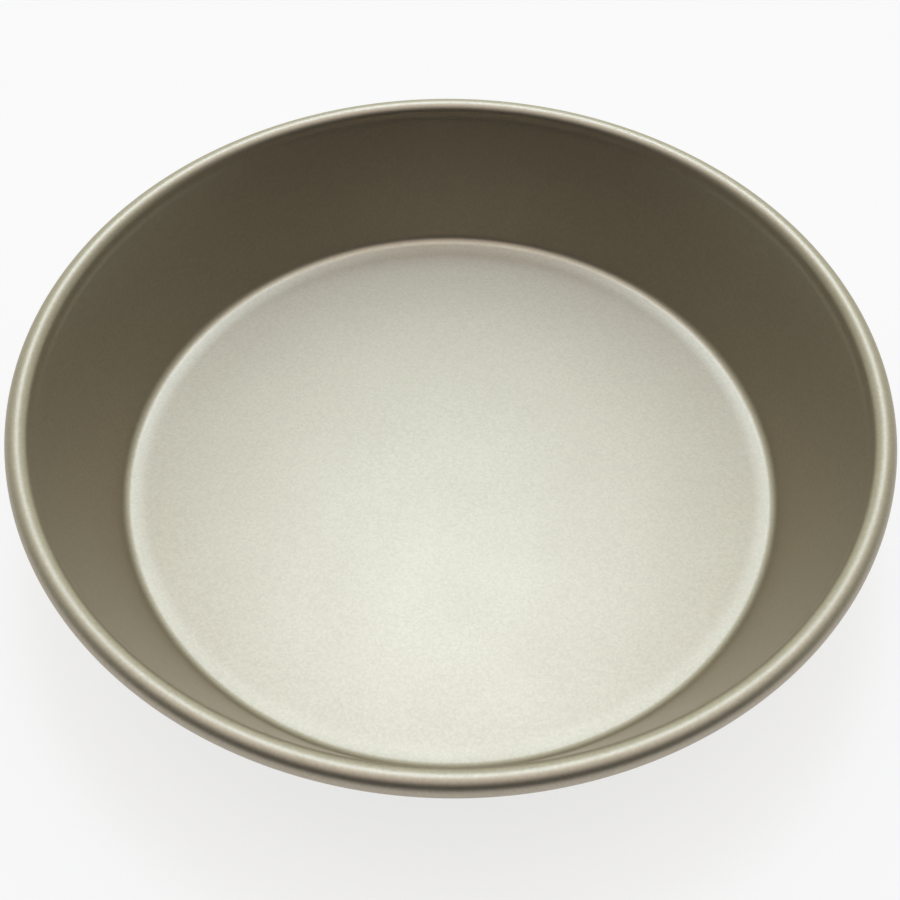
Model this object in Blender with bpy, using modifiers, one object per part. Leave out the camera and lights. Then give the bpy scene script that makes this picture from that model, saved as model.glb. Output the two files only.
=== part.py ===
"""Round cake pan, drawn from one coated steel sheet, with its rim rolled round a steel wire.

Metres, +Z up. The origin is the middle of the underside, which is what the pan stands on.
The section below is drawn in the plane of +X and +Z and turned once round the Z axis. It
follows the face that food touches, and the sheet's thickness lies behind that face.
"""

import math

import bpy

# Driving dimensions, in metres
RIM_DIAMETER = 0.245  # over the rolled rim
PAN_HEIGHT = 0.0459  # from the underside to the top of the rolled rim
FLOOR_DIAMETER = 0.1962  # inside, where wall and floor would meet with no corner radius
CORNER_RADIUS = 0.0046  # inside, between the floor and the wall
SHEET_THICKNESS = 0.0008
BEAD_DIAMETER = 0.0066  # over the section of the rolled rim
WIRE_CLEARANCE = 0.0003  # between the wire and the sheet rolled round it
CURL_EDGE_GAP = 0.0004  # from the curl's cut edge to the outside of the wall
WIRE_END_GAP = 0.001  # between the two butted ends of the wire

# Fineness of the facets
TURN_STEPS = 72
CORNER_STEPS = 8
CURL_STEP_ANGLE = math.radians(15.5)  # the most that one facet of the curl turns
WIRE_BEVEL_RESOLUTION = 3
AXIS_MERGE_DISTANCE = 1e-5

# The bead's section is a circle, and the wall is the straight line that touches its inner side
BEAD_RADIUS = BEAD_DIAMETER / 2
BEAD_CENTRE_R = RIM_DIAMETER / 2 - BEAD_RADIUS
BEAD_CENTRE_Z = PAN_HEIGHT - BEAD_RADIUS
WIRE_RADIUS = BEAD_RADIUS - SHEET_THICKNESS - WIRE_CLEARANCE


def wall_lean():
    """Angle of the wall from upright.

    The wall passes through the corner of wall and floor and runs past the bead's centre at
    one bead radius, so with a span and a slope from that corner to the centre,
    span * cos(lean + slope) = radius.
    """
    across = BEAD_CENTRE_R - FLOOR_DIAMETER / 2
    up = BEAD_CENTRE_Z - SHEET_THICKNESS
    return math.acos(BEAD_RADIUS / math.hypot(across, up)) - math.atan2(up, across)


def arc(centre_r, centre_z, radius, start, end, steps):
    """Points of the section along an arc, both ends included. Angles run from +X towards +Z."""
    angles = [start + (end - start) * step / steps for step in range(steps + 1)]
    return [
        (centre_r + radius * math.cos(angle), centre_z + radius * math.sin(angle))
        for angle in angles
    ]


def corner_points(lean):
    """The round corner, from where it leaves the floor to where it meets the wall."""
    floor_to_corner = CORNER_RADIUS * math.tan((math.pi / 2 - lean) / 2)
    centre_r = FLOOR_DIAMETER / 2 - floor_to_corner
    centre_z = SHEET_THICKNESS + CORNER_RADIUS
    return arc(centre_r, centre_z, CORNER_RADIUS, -math.pi / 2, -lean, CORNER_STEPS)


def curl_points(lean):
    """The rolled rim: inner side, top, outer side, underside, then in towards the wall.

    The wall's outer face runs one bead radius less one sheet from the bead's centre, and the
    curl stops where its outside is still one edge gap away from that face.
    """
    start = math.pi - lean
    reach = BEAD_RADIUS - SHEET_THICKNESS - CURL_EDGE_GAP
    open_angle = math.acos(reach / BEAD_RADIUS)
    end = start - 2 * math.pi + open_angle
    top, outer = math.pi / 2, 0.0
    points = []
    for first, last in ((start, top), (top, outer), (outer, end)):
        steps = math.ceil((first - last) / CURL_STEP_ANGLE)
        stretch = arc(BEAD_CENTRE_R, BEAD_CENTRE_Z, BEAD_RADIUS, first, last, steps)
        points += stretch if not points else stretch[1:]
    return points


def metal(name, colour, metallic, roughness):
    material = bpy.data.materials.new(name)
    material.use_nodes = True
    shader = material.node_tree.nodes["Principled BSDF"]
    shader.inputs["Base Color"].default_value = (*colour, 1.0)
    shader.inputs["Metallic"].default_value = metallic
    shader.inputs["Roughness"].default_value = roughness
    material.diffuse_color = (*colour, 1.0)
    return material


def add_pan_shell(collection):
    """The pan: its open section turned round the Z axis, then given the sheet's thickness."""
    lean = wall_lean()
    section = [(0.0, SHEET_THICKNESS)]
    section += corner_points(lean) + curl_points(lean)
    mesh = bpy.data.meshes.new("pan_shell")
    edges = [(index, index + 1) for index in range(len(section) - 1)]
    mesh.from_pydata([(r, 0.0, z) for r, z in section], edges, [])
    shell = bpy.data.objects.new("pan_shell", mesh)
    collection.objects.link(shell)

    turn = shell.modifiers.new("turn", "SCREW")
    turn.axis = "Z"
    turn.angle = 2 * math.pi
    turn.steps = TURN_STEPS
    turn.render_steps = TURN_STEPS
    turn.use_merge_vertices = True
    turn.merge_threshold = AXIS_MERGE_DISTANCE
    turn.use_smooth_shade = True

    sheet = shell.modifiers.new("sheet", "SOLIDIFY")
    sheet.thickness = SHEET_THICKNESS
    sheet.offset = -1.0
    sheet.use_even_offset = True

    coating = metal("champagne_coating", (0.43, 0.40, 0.33), metallic=1.0, roughness=0.46)
    mesh.materials.append(coating)
    return shell


def add_rim_wire(collection):
    """The wire in the rim: a ring bent from a straight rod, open by the gap of its two ends."""
    half_gap = WIRE_END_GAP / 2 / BEAD_CENTRE_R
    turn = 2 * math.pi - 2 * half_gap
    curve = bpy.data.curves.new("rim_wire", "CURVE")
    curve.dimensions = "3D"
    curve.bevel_depth = WIRE_RADIUS
    curve.bevel_resolution = WIRE_BEVEL_RESOLUTION
    curve.use_fill_caps = True
    spline = curve.splines.new("POLY")
    spline.points.add(TURN_STEPS)
    for step, point in enumerate(spline.points):
        angle = half_gap + turn * step / TURN_STEPS
        across = BEAD_CENTRE_R * math.cos(angle)
        along = BEAD_CENTRE_R * math.sin(angle)
        point.co = (across, along, 0.0, 1.0)
    spline.use_smooth = True
    curve.materials.append(metal("plain_steel", (0.55, 0.55, 0.56), metallic=1.0, roughness=0.3))
    wire = bpy.data.objects.new("rim_wire", curve)
    wire.location = (0.0, 0.0, BEAD_CENTRE_Z)
    collection.objects.link(wire)
    return wire


def main():
    for old in list(bpy.data.objects):
        bpy.data.objects.remove(old, do_unlink=True)
    cake_pan = bpy.data.collections.new("cake_pan")
    bpy.context.scene.collection.children.link(cake_pan)
    shell = add_pan_shell(cake_pan)
    wire = add_rim_wire(cake_pan)
    wire.parent = shell


main()
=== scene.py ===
# %% [markdown]
# # A round cake pan
# The pan is pressed from one disc of coated steel sheet, and its rim is rolled round a wire.
# That gives two pieces: the sheet and the wire. This lesson builds both round the packed
# model, gives them their finishes, and sets up a small studio to look at them.
# All lengths are in metres, +Z is up, and the origin is in the middle of the underside.

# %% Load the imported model
import math

import bpy
import numpy as np
from mathutils import Matrix, Vector


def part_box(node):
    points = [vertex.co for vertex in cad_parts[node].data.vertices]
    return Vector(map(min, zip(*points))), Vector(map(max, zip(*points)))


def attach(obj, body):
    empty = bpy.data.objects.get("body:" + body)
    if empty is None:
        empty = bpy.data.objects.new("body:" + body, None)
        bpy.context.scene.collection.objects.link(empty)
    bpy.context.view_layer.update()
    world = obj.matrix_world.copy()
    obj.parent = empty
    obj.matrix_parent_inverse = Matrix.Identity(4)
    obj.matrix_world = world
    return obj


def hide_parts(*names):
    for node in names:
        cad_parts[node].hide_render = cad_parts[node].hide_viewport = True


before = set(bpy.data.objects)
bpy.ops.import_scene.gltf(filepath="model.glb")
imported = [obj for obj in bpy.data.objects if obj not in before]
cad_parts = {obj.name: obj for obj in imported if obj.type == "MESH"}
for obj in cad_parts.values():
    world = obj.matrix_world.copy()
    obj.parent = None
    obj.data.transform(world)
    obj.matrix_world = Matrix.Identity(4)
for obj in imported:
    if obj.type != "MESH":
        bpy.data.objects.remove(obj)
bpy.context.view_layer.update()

# %% [markdown]
# ## The sizes
# The overall sizes could be typed in again, but then they could drift away from the packed
# model, so they are read from it. The wire lies in the middle of the rolled bead: its box gives
# the bead's centre, and the pan's box gives the bead's outside.
# The sizes that a box can't tell, such as the sheet's thickness, are named here.
# A pressed floor is never quite flat. It is left a little higher in the middle, so that the pan
# stands on its edge and doesn't rock, and it sweeps up gently before it turns into the corner.

# %% Read and name the sizes
pan_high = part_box("pan_shell")[1]
wire_low, wire_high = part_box("rim_wire")
RIM_RADIUS = pan_high.x
PAN_HEIGHT = pan_high.z
BEAD_CENTRE_Z = (wire_low.z + wire_high.z) / 2
BEAD_RADIUS = PAN_HEIGHT - BEAD_CENTRE_Z
BEAD_CENTRE_R = RIM_RADIUS - BEAD_RADIUS
FLOOR_RADIUS = 0.0979  # inside, where wall and floor would meet with no corner radius
CORNER_RADIUS = 0.0034
EASE_RADIUS = 0.035  # of the gentle sweep between the floor and the corner
EASE_ANGLE = math.radians(6)
CROWN = 0.0015  # the middle of the floor stands this much higher than its edge
SHEET = 0.0008
GROOVE_WIDTH = 0.0036  # of the faint groove that the rolling leaves under the bead
GROOVE_DEPTH = 0.00007
CURL_EDGE_GAP = 0.0004
WIRE_CLEARANCE = 0.0003
WIRE_RADIUS = BEAD_RADIUS - SHEET - WIRE_CLEARANCE
WIRE_END_GAP = 0.001
print(f"rim {2000 * RIM_RADIUS:.1f} mm across, pan {1000 * PAN_HEIGHT:.1f} mm high")
print(f"bead {2000 * BEAD_RADIUS:.2f} mm, wire {2000 * WIRE_RADIUS:.2f} mm")

# %% [markdown]
# ## The wall's line
# A pan like this is a surface of revolution, so its whole shape is in one line: the face that
# food touches, from the middle of the floor to the cut edge of the curl.
# The wall could be given an angle of its own. Here it is the straight line that starts where
# the floor would meet it and just touches the inner side of the bead's circle, so it always
# runs smoothly into the bead, whatever the sizes are.


# %% Find the wall's lean
def wall_lean():
    """Angle of the wall from upright: the wall runs from the corner past the bead's centre at
    one bead radius, so span * cos(lean + slope) = radius for the line between the two."""
    across = BEAD_CENTRE_R - FLOOR_RADIUS
    up = BEAD_CENTRE_Z - SHEET
    return math.acos(BEAD_RADIUS / math.hypot(across, up)) - math.atan2(up, across)


LEAN = wall_lean()
WALL_UP = np.array([math.sin(LEAN), math.cos(LEAN)])
WALL_OUT = np.array([math.cos(LEAN), -math.sin(LEAN)])
print(f"the wall leans {math.degrees(LEAN):.1f} degrees")

# %% [markdown]
# ## The floor and the corner
# The press forms the floor's crown, the sweep at its edge and the corner in one stroke. Each
# run has to start in the direction in which the last one ended, or the coating shows a crease.
# A bevel modifier would give one plain arc. Arcs laid end to end, with their centres worked
# out from the two lines that they join, give every run its own radius.


# %% Draw the floor and the corner
CROWN_POINTS = 18
SWEEP_POINTS = 12
CORNER_POINTS = 24


def arc(centre, radius, start, end, count):
    """(count, 2) points at even angles along an arc of the section: centre + radius * (cos,
    sin)."""
    angles = np.linspace(start, end, count)
    return np.stack([centre[0] + radius * np.cos(angles), centre[1] + radius * np.sin(angles)], 1)


def floor_and_corner():
    """Radius and height from the middle of the floor to the foot of the wall.

    The corner's centre lies one corner radius off the wall, at the height where its arc starts
    at the angle that the sweep has reached. The sweep's centre lies straight above the lowest
    point of the floor. The crown is a parabola that falls to meet the sweep."""
    down = -math.pi / 2  # the angle at which the floor lies
    rise = EASE_RADIUS * (1 - math.cos(EASE_ANGLE))
    rise += CORNER_RADIUS * (math.cos(EASE_ANGLE) - math.sin(LEAN))
    foot = np.array([FLOOR_RADIUS, SHEET]) + rise / math.cos(LEAN) * WALL_UP
    corner_centre = foot - CORNER_RADIUS * WALL_OUT
    lowest = corner_centre[0] - (EASE_RADIUS - CORNER_RADIUS) * math.sin(EASE_ANGLE)
    fall = math.atan(2 * CROWN / lowest)
    ease_centre = (lowest, SHEET + EASE_RADIUS)
    sweep = arc(ease_centre, EASE_RADIUS, down - fall, down + EASE_ANGLE, SWEEP_POINTS)
    corner = arc(corner_centre, CORNER_RADIUS, down + EASE_ANGLE, -LEAN, CORNER_POINTS)
    out = np.linspace(0, sweep[0, 0], CROWN_POINTS)
    drop = math.tan(fall) * out**2 / (2 * out[-1])
    crown = np.stack([out, sweep[0, 1] + drop[-1] - drop], 1)
    return np.concatenate([crown[:-1], sweep[:-1], corner])


base = floor_and_corner()
print(f"floor: {1000 * (base[0, 1] - base[:, 1].min()):.2f} mm higher in its middle")

# %% [markdown]
# ## The wall and the rolled rim
# The rim of the real pan is curled outwards over the wire by a roller, until its cut edge lies
# against the wall. That makes the edge safe to hold and the pan stiff. The roller also leaves
# a faint groove under the bead, which shows as one thin light line and one dark one.
# The curl could be a torus, but it has to grow out of the wall in one piece, so it is the next
# arc of the same line, and it stops one small gap short of the wall.


# %% Draw the wall and the curl
BEAD_CENTRE = np.array([BEAD_CENTRE_R, BEAD_CENTRE_Z])
WALL_POINTS = 8
GROOVE_POINTS = 20
CURL_POINTS = 80


def wall_and_curl(foot):
    """Radius and height from the foot of the wall to the cut edge of the curl: a straight
    run, one cosine wave pressed outwards over the groove's width, and an arc round the wire."""
    touch = BEAD_CENTRE - BEAD_RADIUS * WALL_OUT
    groove_foot = touch - GROOVE_WIDTH * WALL_UP
    wall = foot + np.linspace(0, 1, WALL_POINTS)[:, None] * (groove_foot - foot)
    share = np.linspace(0, 1, GROOVE_POINTS)[:, None]
    push = GROOVE_DEPTH * (1 - np.cos(2 * math.pi * share)) / 2
    groove = groove_foot + share * GROOVE_WIDTH * WALL_UP + push * WALL_OUT
    open_angle = math.acos((BEAD_RADIUS - SHEET - CURL_EDGE_GAP) / BEAD_RADIUS)
    start = math.pi - LEAN
    end = start - 2 * math.pi + open_angle
    curl = arc(BEAD_CENTRE, BEAD_RADIUS, start, end, CURL_POINTS)
    return np.concatenate([wall[1:-1], groove[:-1], curl])


face = np.concatenate([base, wall_and_curl(base[-1])])
print(f"the face has {len(face)} points, its cut edge is at {np.round(1000 * face[-1], 2)} mm")

# %% [markdown]
# ## The back of the sheet
# The sheet has the same thickness everywhere. A Solidify modifier gives that too. Moving the
# line square to itself by one thickness is the same step in the section, and it keeps the two
# faces as one closed line, which turns into one closed solid.


# %% Set the back face off from the front
def set_back(line, distance):
    """The line moved to its right by a distance, square to its own direction at each point."""
    run = np.gradient(line, axis=0)
    run /= np.linalg.norm(run, axis=1, keepdims=True)
    return line + distance * np.stack([run[:, 1], -run[:, 0]], 1)


back = set_back(face, SHEET)
back[0] = (0.0, face[0, 1] - SHEET)
print(f"the back reaches from z {1000 * back[:, 1].min():.3f} mm")

# %% [markdown]
# ## From rings of points to a mesh
# Both pieces are a row of rings with one closing point at each end: the sheet is its section
# turned round the axis, and the wire is a circle carried round the rim. A Screw modifier and a
# curve could make them too. Grids worked out with numpy give the same surfaces with full
# control of their poles and spacing, and one function joins either of them into faces.


# %% Join rings into a closed mesh
def add_rings(name, rings, first_pole, last_pole):
    """A smooth closed mesh from (rows, columns, 3) points. Neighbouring points of the grid
    share a quad, the columns close on themselves, and each end row closes onto its pole."""
    rows, columns, _ = rings.shape
    k = np.arange(columns)
    after = (k + 1) % columns
    row = np.arange(rows - 1)[:, None] * columns
    quads = np.stack([row + k, row + columns + k, row + columns + after, row + after], 2)
    first, last = rows * columns, rows * columns + 1
    end = (rows - 1) * columns
    fans = [np.stack([np.full(columns, first), k, after], 1)]
    fans += [np.stack([np.full(columns, last), end + after, end + k], 1)]
    points = np.concatenate([rings.reshape(-1, 3), [first_pole, last_pole]])
    faces = quads.reshape(-1, 4).tolist() + np.concatenate(fans).tolist()
    mesh = bpy.data.meshes.new(name)
    mesh.from_pydata(points.tolist(), [], faces)
    mesh.shade_smooth()
    mesh.update()
    piece = bpy.data.objects.new(name, mesh)
    bpy.context.scene.collection.objects.link(piece)
    print(f"{name}: {len(mesh.polygons)} faces")
    return piece


# %% [markdown]
# ## The sheet
# On the real pan this is a disc of steel sheet, pressed over a block. The closed section runs
# out along the face that food touches and home along the back. It is one parameter of the
# grid, and the turn round the axis is the other. Both ends of the section lie on the axis, in
# the middle of the floor and of the underside, and become the poles.


# %% Turn the section
def turned(name, line, turns):
    """A solid of revolution: point k of ring i is radius_i * (cos_k, sin_k) at height_i."""
    angles = np.linspace(0, 2 * math.pi, turns, endpoint=False)
    radius, height = line[1:-1, :1], line[1:-1, 1:]
    x, y = radius * np.cos(angles), radius * np.sin(angles)
    rings = np.stack([x, y, np.broadcast_to(height, x.shape)], 2)
    return add_rings(name, rings, (0, 0, line[0, 1]), (0, 0, line[-1, 1]))


pan = turned("pan_sheet", np.concatenate([face, back[::-1]]), turns=256)
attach(pan, "root")
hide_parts("pan_shell")

# %% [markdown]
# ## The wire in the rim
# The rim is stiff because it is rolled round a steel wire. The wire is a ring bent from a
# straight length, and its two ends butt with a small gap. A torus would close the ring, so a
# circle is carried along an open path instead, and it shrinks a little at both ends, because
# the edge of a sheared wire is rounded over.


# %% Carry a circle round the rim
def wire_ring(name, steps, sides):
    """A round wire along an open circle: ring i lies at angle_i round the pan, and its point k
    at angle_k round the wire. Over each end the radius follows a quarter circle."""
    end_round = 0.15 * WIRE_RADIUS
    quarter = np.linspace(0, math.pi / 2, 6)
    inset = end_round * (1 - np.cos(quarter)) / BEAD_CENTRE_R
    shrink = end_round * (1 - np.sin(quarter))
    start = WIRE_END_GAP / 2 / BEAD_CENTRE_R
    end = 2 * math.pi - start
    middle = np.linspace(start + inset[-1], end - inset[-1], steps)[1:-1]
    around = np.concatenate([start + inset, middle, end - inset[::-1]])[:, None]
    radius = WIRE_RADIUS - np.concatenate([shrink, np.zeros(steps - 2), shrink[::-1]])[:, None]
    turn = np.linspace(0, 2 * math.pi, sides, endpoint=False)
    out = BEAD_CENTRE_R + radius * np.cos(turn)
    height = BEAD_CENTRE_Z + radius * np.sin(turn)
    rings = np.stack([out * np.cos(around), out * np.sin(around), height], 2)
    poles = [
        (BEAD_CENTRE_R * math.cos(angle), BEAD_CENTRE_R * math.sin(angle), BEAD_CENTRE_Z)
        for angle in (start, end)
    ]
    return add_rings(name, rings, *poles)


wire = wire_ring("rim_wire_round", steps=360, sides=32)
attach(wire, "root")
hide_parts("rim_wire")

# %% [markdown]
# ## Tools for materials
# A material is a small graph of nodes. Two helpers keep the cells short: one adds a node with
# the values of its sockets, the other makes a new material and finds its Principled shader.


# %% Add nodes and materials
def add_node(tree, kind, settings=(), **values):
    """A node of a kind, with its settings. Its inputs are set or linked by their names, or
    where names repeat by their numbers: _0 is the first."""
    node = tree.nodes.new(kind)
    for name, value in settings:
        setattr(node, name, value)
    for name, value in values.items():
        socket = node.inputs[int(name[1:]) if name[1:].isdigit() else name.replace("_", " ")]
        if isinstance(value, bpy.types.NodeSocket):
            tree.links.new(value, socket)
        else:
            socket.default_value = value
    return node


def new_material(name):
    material = bpy.data.materials.new(name)
    material.use_nodes = True
    tree = material.node_tree
    return material, tree, tree.nodes["Principled BSDF"]


# %% [markdown]
# ## Fine grain
# A sprayed coating is full of tiny metal flakes, and a drawn wire or a sheet of paper has a
# grain of its own. A picture of each grain would repeat and blur from close by. Two procedural
# textures are sharp at any distance: noise gives the soft unevenness, and the cells of a
# Voronoi texture give every flake a tone of its own.
# More than one material needs such a grain, so it is one group of nodes with named sockets.


# %% Make the grain group
def grain_group():
    """Tone is a mix of noise and of one random value per cell, both spread over 0 to 1."""
    group = bpy.data.node_groups.new("fine_grain", "ShaderNodeTree")
    sockets = group.interface
    sockets.new_socket("Vector", in_out="INPUT", socket_type="NodeSocketVector")
    sockets.new_socket("Grains per Metre", in_out="INPUT", socket_type="NodeSocketFloat")
    sockets.new_socket("Flakes", in_out="INPUT", socket_type="NodeSocketFloat")
    sockets.new_socket("Tone", in_out="OUTPUT", socket_type="NodeSocketFloat")
    given = group.nodes.new("NodeGroupInput").outputs
    result = group.nodes.new("NodeGroupOutput").inputs
    soft = add_node(
        group,
        "ShaderNodeTexNoise",
        Vector=given["Vector"],
        Scale=given["Grains per Metre"],
        Detail=2.0,
        Roughness=0.7,
    )
    spread = add_node(
        group,
        "ShaderNodeMapRange",
        Value=soft.outputs["Fac"],
        From_Min=0.25,
        From_Max=0.75,
    )
    cells = add_node(
        group,
        "ShaderNodeTexVoronoi",
        Vector=given["Vector"],
        Scale=given["Grains per Metre"],
    )
    flake = add_node(group, "ShaderNodeSeparateColor", Color=cells.outputs["Color"])
    mixed = add_node(
        group,
        "ShaderNodeMix",
        Factor=given["Flakes"],
        _2=spread.outputs["Result"],
        _3=flake.outputs["Red"],
    )
    group.links.new(mixed.outputs["Result"], result["Tone"])
    return group


fine_grain = grain_group()
print("fine_grain:", [item.name for item in fine_grain.interface.items_tree])

# %% [markdown]
# ## Stray specks
# No workshop is free of dust: here and there a speck sits in the finish. The specks are the
# middles of widely spaced Voronoi cells, and only the cells whose random value is high have
# one. Painting them by hand would look as good from one side. The texture puts them all over.


# %% Make the speck group
def speck_group():
    """Mask is 1 within the speck's size of a cell's middle, in the share of cells that have
    one, and 0 elsewhere."""
    group = bpy.data.node_groups.new("stray_specks", "ShaderNodeTree")
    sockets = group.interface
    sockets.new_socket("Vector", in_out="INPUT", socket_type="NodeSocketVector")
    sockets.new_socket("Cells per Metre", in_out="INPUT", socket_type="NodeSocketFloat")
    sockets.new_socket("Size in Cells", in_out="INPUT", socket_type="NodeSocketFloat")
    sockets.new_socket("Share", in_out="INPUT", socket_type="NodeSocketFloat")
    sockets.new_socket("Mask", in_out="OUTPUT", socket_type="NodeSocketFloat")
    given = group.nodes.new("NodeGroupInput").outputs
    result = group.nodes.new("NodeGroupOutput").inputs
    cells = add_node(
        group,
        "ShaderNodeTexVoronoi",
        Vector=given["Vector"],
        Scale=given["Cells per Metre"],
    )
    near = add_node(
        group,
        "ShaderNodeMath",
        [("operation", "LESS_THAN")],
        _0=cells.outputs["Distance"],
        _1=given["Size in Cells"],
    )
    chance = add_node(group, "ShaderNodeSeparateColor", Color=cells.outputs["Color"])
    chosen = add_node(
        group,
        "ShaderNodeMath",
        [("operation", "LESS_THAN")],
        _0=chance.outputs["Red"],
        _1=given["Share"],
    )
    both = add_node(
        group,
        "ShaderNodeMath",
        [("operation", "MULTIPLY")],
        _0=near.outputs[0],
        _1=chosen.outputs[0],
    )
    group.links.new(both.outputs[0], result["Mask"])
    return group


stray_specks = speck_group()
print("stray_specks:", [item.name for item in stray_specks.interface.items_tree])


# %% [markdown]
# ## The satin coating
# The pan's finish is a satin champagne non-stick coating. Its flakes make it behave like a
# metal: it has no colour of its own in the shade, and its colour tints what it reflects. So
# Metallic is 1, and a fairly high Roughness blurs the reflections to a sheen.
# The grain makes the base colour a few hundredths lighter and darker, and drives a very low
# bump, so that the sheen sparkles a little from close by. A slow noise makes the sheen
# slightly uneven, as the spray was a little thicker in some places.


# %% Make the coating
def group_node(tree, group, **values):
    """A node that places a group in a material, with its inputs set by their names."""
    return add_node(tree, "ShaderNodeGroup", [("node_tree", group)], **values)


def satin_coating(name, dark, pale, speck):
    """Pale and dark tones mixed by the grain, with a speck here and there."""
    material, tree, shader = new_material(name)
    place = add_node(tree, "ShaderNodeTexCoord").outputs["Object"]
    grain = group_node(tree, fine_grain, Vector=place, Grains_per_Metre=1500.0, Flakes=0.45)
    tone = grain.outputs["Tone"]
    colour = add_node(
        tree, "ShaderNodeMix", [("data_type", "RGBA")], Factor=tone, _6=dark, _7=pale
    )
    dust = group_node(
        tree, stray_specks, Vector=place, Cells_per_Metre=45.0, Size_in_Cells=0.017, Share=0.2
    )
    specked = add_node(
        tree,
        "ShaderNodeMix",
        [("data_type", "RGBA")],
        Factor=dust.outputs["Mask"],
        _6=colour.outputs[2],
        _7=speck,
    )
    tree.links.new(specked.outputs[2], shader.inputs["Base Color"])
    cloud = add_node(tree, "ShaderNodeTexNoise", Vector=place, Scale=40.0, Detail=1.0)
    sheen = add_node(
        tree, "ShaderNodeMapRange", Value=cloud.outputs["Fac"], To_Min=0.445, To_Max=0.475
    )
    tree.links.new(sheen.outputs["Result"], shader.inputs["Roughness"])
    bump = add_node(tree, "ShaderNodeBump", Strength=0.3, Distance=0.000003, Height=tone)
    tree.links.new(bump.outputs["Normal"], shader.inputs["Normal"])
    shader.inputs["Metallic"].default_value = 1.0
    return material


coating = satin_coating(
    "satin_champagne",
    dark=(0.400, 0.355, 0.287, 1),
    pale=(0.480, 0.425, 0.343, 1),
    speck=(0.22, 0.20, 0.17, 1),
)
pan.data.materials.append(coating)
print(f"{coating.name}: {len(coating.node_tree.nodes)} nodes")

# %% [markdown]
# ## The drawn steel
# A wire is drawn through a die, which leaves fine lines along its length. The lines could come
# from a texture stretched along the wire, but the wire runs round in a ring. So the texture
# reads how far out and how high each point lies, which are the same all along a line, and only
# a little of the way round. The same grain group then gives lines instead of specks.


# %% Make the drawn steel
ANGLE_SHARE = 0.004  # of the angle round the pan, which makes each line long


def drawn_steel(name, dark, pale):
    """The grain read at (radius, height, a little of the angle) instead of (x, y, z)."""
    material, tree, shader = new_material(name)
    place = add_node(tree, "ShaderNodeTexCoord").outputs["Object"]
    axes = add_node(tree, "ShaderNodeSeparateXYZ", Vector=place).outputs
    flat = add_node(tree, "ShaderNodeCombineXYZ", X=axes["X"], Y=axes["Y"])
    radius = add_node(
        tree, "ShaderNodeVectorMath", [("operation", "LENGTH")], _0=flat.outputs["Vector"]
    )
    angle = add_node(
        tree, "ShaderNodeMath", [("operation", "ARCTAN2")], _0=axes["Y"], _1=axes["X"]
    )
    along = add_node(
        tree, "ShaderNodeMath", [("operation", "MULTIPLY")], _0=angle.outputs[0], _1=ANGLE_SHARE
    )
    unrolled = add_node(
        tree,
        "ShaderNodeCombineXYZ",
        X=radius.outputs["Value"],
        Y=axes["Z"],
        Z=along.outputs[0],
    )
    lines = group_node(
        tree, fine_grain, Vector=unrolled.outputs["Vector"], Grains_per_Metre=6000.0, Flakes=0.2
    )
    tone = lines.outputs["Tone"]
    colour = add_node(
        tree, "ShaderNodeMix", [("data_type", "RGBA")], Factor=tone, _6=dark, _7=pale
    )
    tree.links.new(colour.outputs[2], shader.inputs["Base Color"])
    polish = add_node(tree, "ShaderNodeMapRange", Value=tone, To_Min=0.26, To_Max=0.38)
    tree.links.new(polish.outputs["Result"], shader.inputs["Roughness"])
    shader.inputs["Metallic"].default_value = 1.0
    return material


steel = drawn_steel("drawn_steel", dark=(0.50, 0.50, 0.51, 1), pale=(0.60, 0.60, 0.61, 1))
wire.data.materials.append(steel)
print(f"{steel.name}: {len(steel.node_tree.nodes)} nodes")

# %% [markdown]
# ## The paper
# The pan stands on a wide sheet of pale studio paper. Its fibres are a faint grain, and a speck
# of dust lies on it here and there. Paper lit by soft light renders a light grey. To let it
# look white without more light on the pan, a share of plain white is mixed in for the camera,
# and for rays that come off metal or through glass, so that these show the same background.
# The rest is the real paper, which keeps the pan's soft shadow.


# %% Lay the paper
WHITE_SHARE = 0.75
PAPER_RADIUS = 4.0
JUST_BELOW = -0.0002


def white_paper(name, white_share):
    material, tree, shader = new_material(name)
    place = add_node(tree, "ShaderNodeTexCoord").outputs["Object"]
    fibres = group_node(tree, fine_grain, Vector=place, Grains_per_Metre=900.0, Flakes=0.0)
    colour = add_node(
        tree,
        "ShaderNodeMix",
        [("data_type", "RGBA")],
        Factor=fibres.outputs["Tone"],
        _6=(0.89, 0.89, 0.89, 1),
        _7=(0.91, 0.91, 0.91, 1),
    )
    tree.links.new(colour.outputs[2], shader.inputs["Base Color"])
    shader.inputs["Roughness"].default_value = 0.85
    white = add_node(tree, "ShaderNodeEmission", Strength=1.0)
    seen = add_node(tree, "ShaderNodeLightPath").outputs
    either = add_node(
        tree, "ShaderNodeMath", _0=seen["Is Camera Ray"], _1=seen["Is Glossy Ray"]
    )
    any_of_three = add_node(
        tree,
        "ShaderNodeMath",
        [("use_clamp", True)],
        _0=either.outputs[0],
        _1=seen["Is Transmission Ray"],
    )
    share = add_node(
        tree,
        "ShaderNodeMath",
        [("operation", "MULTIPLY")],
        _0=any_of_three.outputs[0],
        _1=white_share,
    )
    blend = add_node(
        tree,
        "ShaderNodeMixShader",
        Fac=share.outputs[0],
        _1=shader.outputs[0],
        _2=white.outputs[0],
    )
    tree.links.new(blend.outputs[0], tree.nodes["Material Output"].inputs["Surface"])
    return material


bpy.ops.mesh.primitive_circle_add(
    vertices=64, radius=PAPER_RADIUS, fill_type="NGON", location=(0, 0, JUST_BELOW)
)
floor = bpy.context.object
floor.name = "pale_floor"
floor.data.materials.append(white_paper("white_paper", WHITE_SHARE))
print(f"paper: {floor.dimensions.x:.0f} m across")

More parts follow.
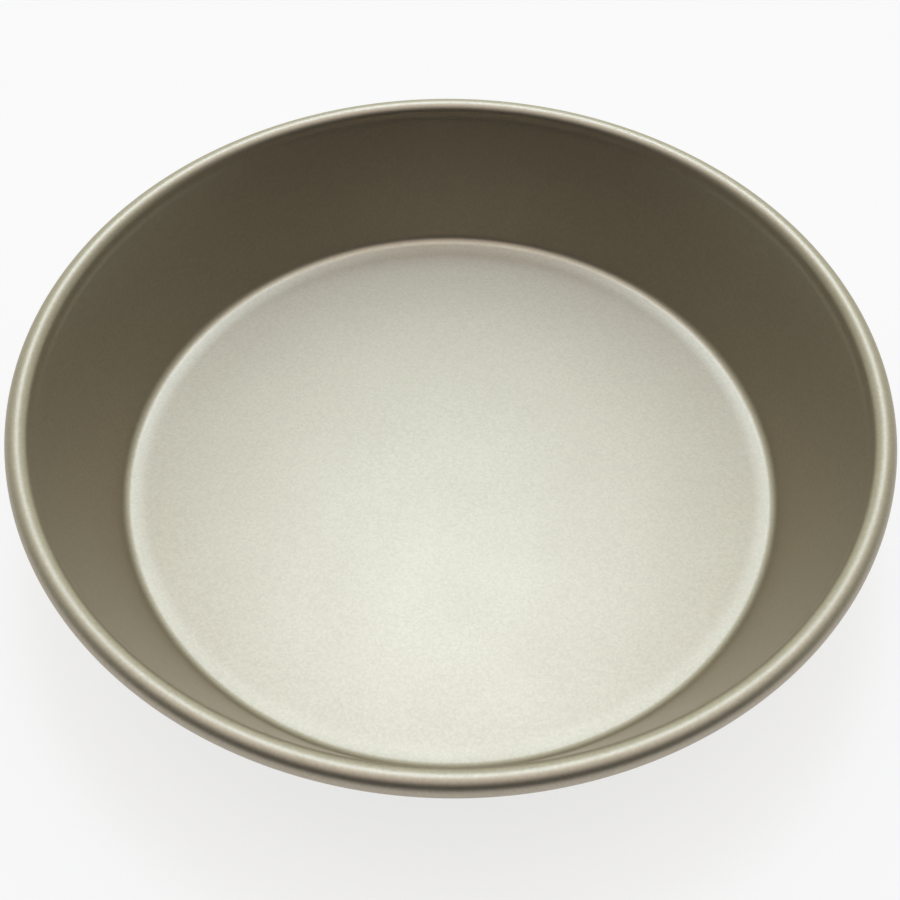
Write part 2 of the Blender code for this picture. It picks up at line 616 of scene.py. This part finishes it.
# %% [markdown]
# ## The light
# The pan is a rough mirror, so what matters is the room that it reflects. Lamps could light it,
# but each lamp would need a size, a distance and a strength that go together. Here the room is
# painted straight into the world, as soft patches of light on a black ground.
# There are three: a wide glow that fades from behind the pan to the front, a round soft box
# overhead, and a smaller, brighter, bluish one that hangs high behind the pan. The front stays
# dark, and that is why the far wall, which mirrors it, is dark next to the floor.
# Above the edge of the paper the camera looks straight into this room. There it sees plain
# white, as if the paper went on, and the patches stay what the pan mirrors.


# %% Light the scene
world = bpy.data.worlds.new("studio")
bpy.context.scene.world = world
world.use_nodes = True
tree = world.node_tree
direction = add_node(tree, "ShaderNodeTexCoord").outputs["Generated"]


def soft_patch(toward, full, gone, colour, under):
    """Colour * s + what lies under it, where s falls smoothly from 1 at the angle full from
    the middle of the patch to 0 at the angle gone, both in degrees. The angle is the arc
    cosine of the dot product of the two directions."""
    dot = add_node(
        tree, "ShaderNodeVectorMath", [("operation", "DOT_PRODUCT")], _0=direction, _1=toward
    )
    angle = add_node(
        tree, "ShaderNodeMath", [("operation", "ARCCOSINE")], _0=dot.outputs["Value"]
    )
    fade = add_node(
        tree,
        "ShaderNodeMapRange",
        [("interpolation_type", "SMOOTHSTEP")],
        Value=angle.outputs[0],
        From_Min=math.radians(full),
        From_Max=math.radians(gone),
        To_Min=1.0,
        To_Max=0.0,
    )
    patch = add_node(
        tree,
        "ShaderNodeVectorMath",
        [("operation", "MULTIPLY_ADD")],
        _0=fade.outputs["Result"],
        _1=colour,
        _2=under,
    )
    return patch.outputs["Vector"]


KEY_ELEVATION = math.radians(62.7)
key = (0.0, math.cos(KEY_ELEVATION), math.sin(KEY_ELEVATION))
light = soft_patch((0, 1, 0), full=5, gone=145, colour=(1.12, 1.18, 0.99), under=(0, 0, 0))
light = soft_patch((0, 0, 1), full=32, gone=40, colour=(0.98, 0.89, 0.88), under=light)
light = soft_patch(key, full=0, gone=14.2, colour=(6.6, 9.1, 12.0), under=light)
seen = add_node(tree, "ShaderNodeLightPath").outputs
straight = add_node(
    tree,
    "ShaderNodeMath",
    [("use_clamp", True)],
    _0=seen["Is Camera Ray"],
    _1=seen["Is Transmission Ray"],
)
shown = add_node(
    tree,
    "ShaderNodeMix",
    [("data_type", "RGBA")],
    Factor=straight.outputs[0],
    _6=light,
    _7=(1, 1, 1, 1),
)
tree.links.new(shown.outputs[2], tree.nodes["Background"].inputs["Color"])
print(f"light: {len(tree.nodes)} nodes in the world")

# %% [markdown]
# ## The camera
# The camera stands in front of the pan and looks down on it from close by, which is why the
# near half of the rim looks so much wider than the far half. Its lens is given by its focal
# length in pixels of the finished picture, and a small shift puts the pan where it belongs.

# %% Place the camera
CAMERA_ELEVATION = math.radians(49.424)
CAMERA_DISTANCE = 0.36329  # from the middle of the rim
CAMERA_ROLL = math.radians(0.83)
FOCAL_PIXELS = 1291.0
AXIS_PIXEL = (451.3, 373.3)  # where the lens axis meets the picture
PICTURE = 900
SENSOR = 36.0

back_up = Vector((0, -math.cos(CAMERA_ELEVATION), math.sin(CAMERA_ELEVATION)))
right = Vector((1, 0, 0))
up = back_up.cross(right)
turned_right = math.cos(CAMERA_ROLL) * right + math.sin(CAMERA_ROLL) * up
turned_up = -math.sin(CAMERA_ROLL) * right + math.cos(CAMERA_ROLL) * up
facing = Matrix((turned_right, turned_up, back_up)).transposed().to_4x4()
eye = Vector((0, 0, BEAD_CENTRE_Z)) + CAMERA_DISTANCE * back_up

camera_data = bpy.data.cameras.new("camera")
camera = bpy.data.objects.new("camera", camera_data)
bpy.context.scene.collection.objects.link(camera)
camera.matrix_world = Matrix.Translation(eye) @ facing
camera_data.sensor_width = SENSOR
camera_data.lens = FOCAL_PIXELS / PICTURE * SENSOR
middle = (PICTURE - 1) / 2
camera_data.shift_x = (middle - AXIS_PIXEL[0]) / PICTURE
camera_data.shift_y = (AXIS_PIXEL[1] - middle) / PICTURE
camera_data.clip_start = 0.01
bpy.context.scene.camera = camera
bpy.context.scene.view_settings.view_transform = "Standard"
print(f"camera: lens {camera_data.lens:.1f} mm, {1000 * eye.length:.0f} mm from the pan")
